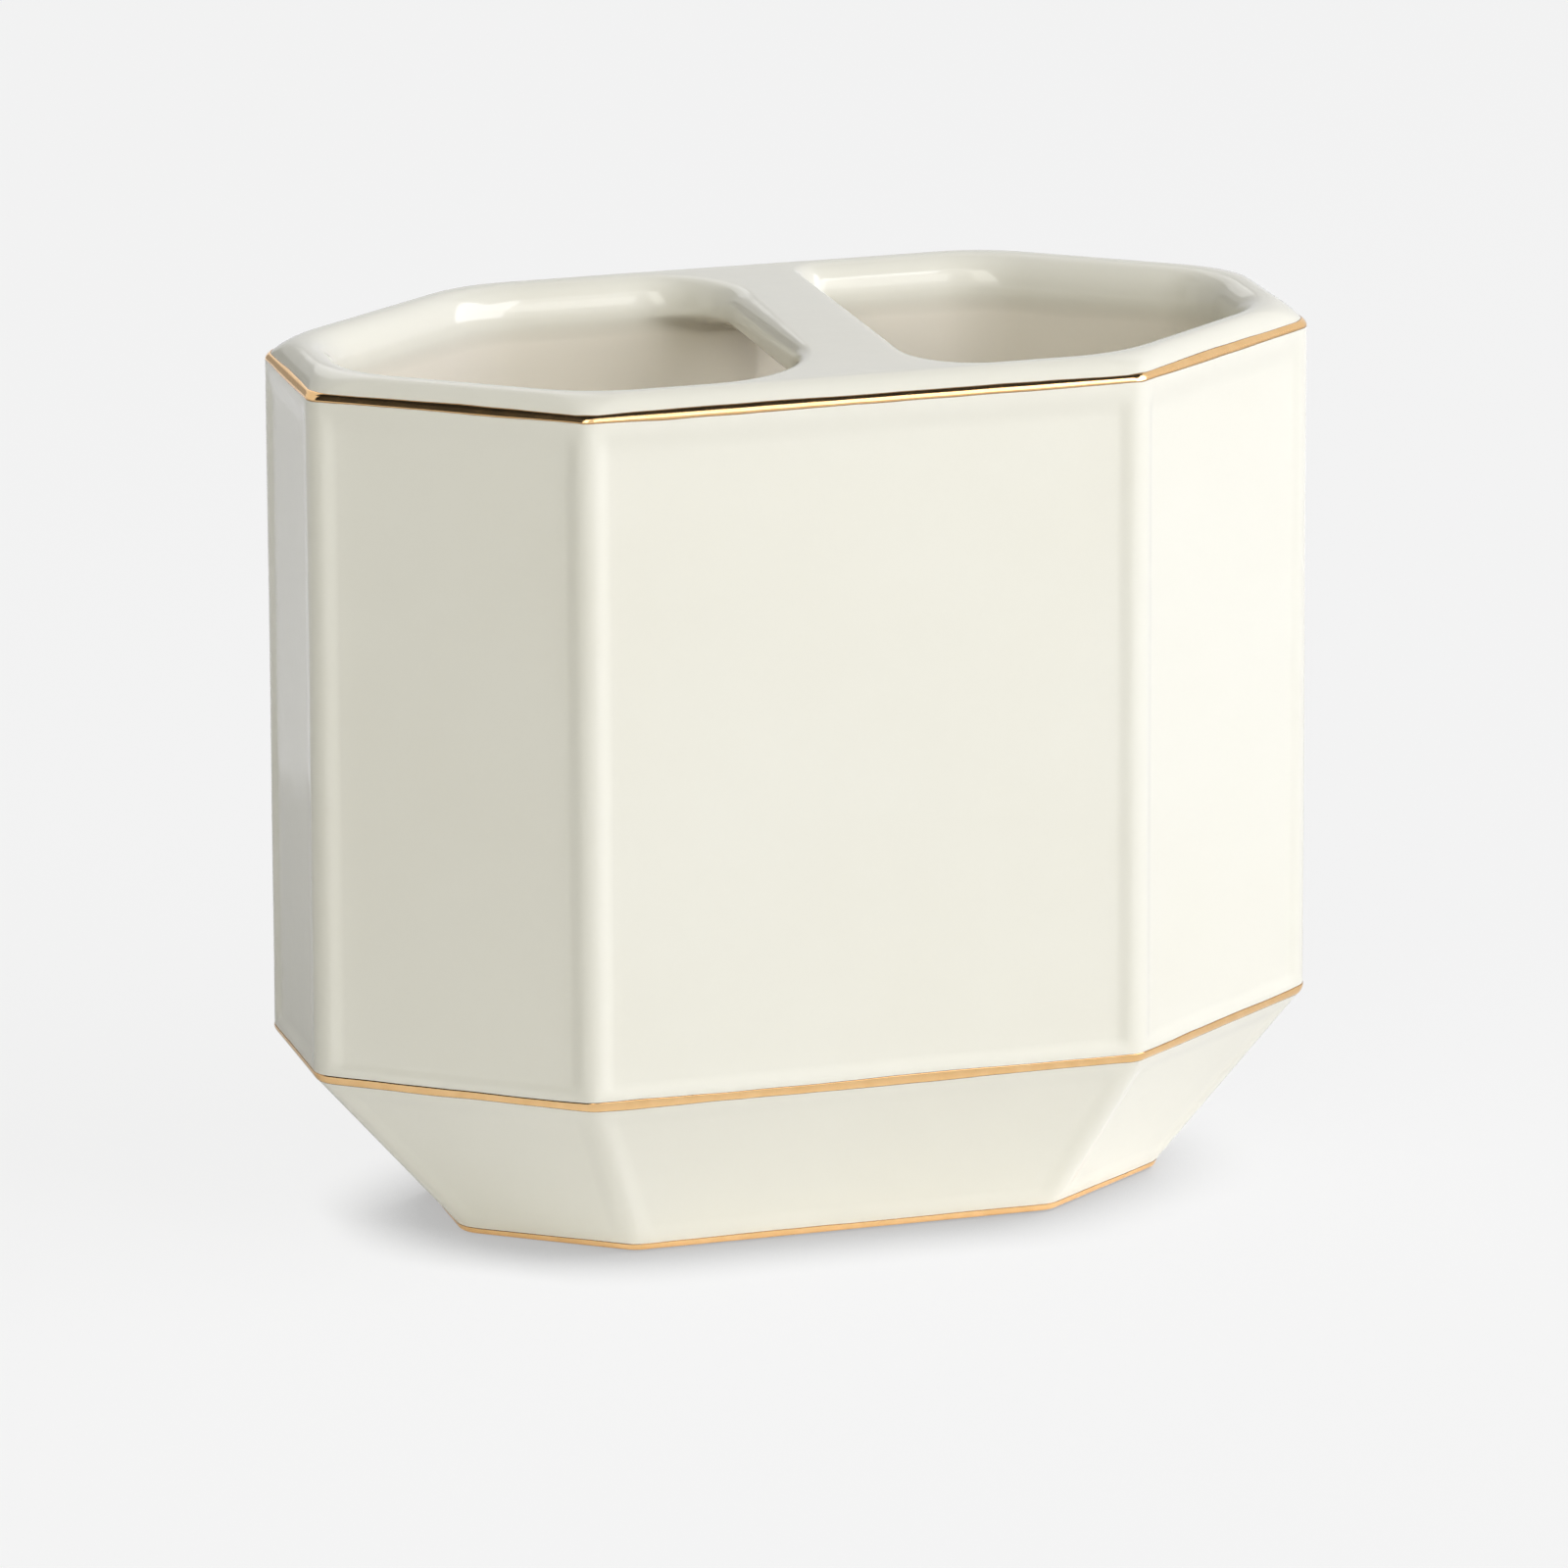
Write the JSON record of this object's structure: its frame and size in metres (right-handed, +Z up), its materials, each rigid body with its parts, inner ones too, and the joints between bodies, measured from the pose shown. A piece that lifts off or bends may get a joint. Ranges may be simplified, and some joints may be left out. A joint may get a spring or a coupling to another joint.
{
  "type": "toothbrush holder",
  "caption": "Glazed ceramic toothbrush holder, eight-sided with a tapered foot, a bridge between its mouths over one cavity, and painted gold edge lines.",
  "frame": {"origin": "middle of the footprint, on the surface that the holder stands on", "axes": "+Z up, +X along the long side, to the right seen from the front, +Y towards the back"},
  "size_m": [0.1272, 0.0658, 0.1101],
  "materials": {
    "glaze": "glossy cream-white glaze",
    "gold_lustre": "bright hand-painted gold lustre",
    "clear_pad": "clear soft polyurethane, satin"
  },
  "bodies": {
    "root": {"vessel": "glaze", "rim_gold_line": "gold_lustre", "waist_gold_line": "gold_lustre", "foot_gold_line": "gold_lustre", "grip_pad_front_left": "clear_pad", "grip_pad_front_right": "clear_pad", "grip_pad_back_left": "clear_pad", "grip_pad_back_right": "clear_pad"}
  },
  "joints": []
}
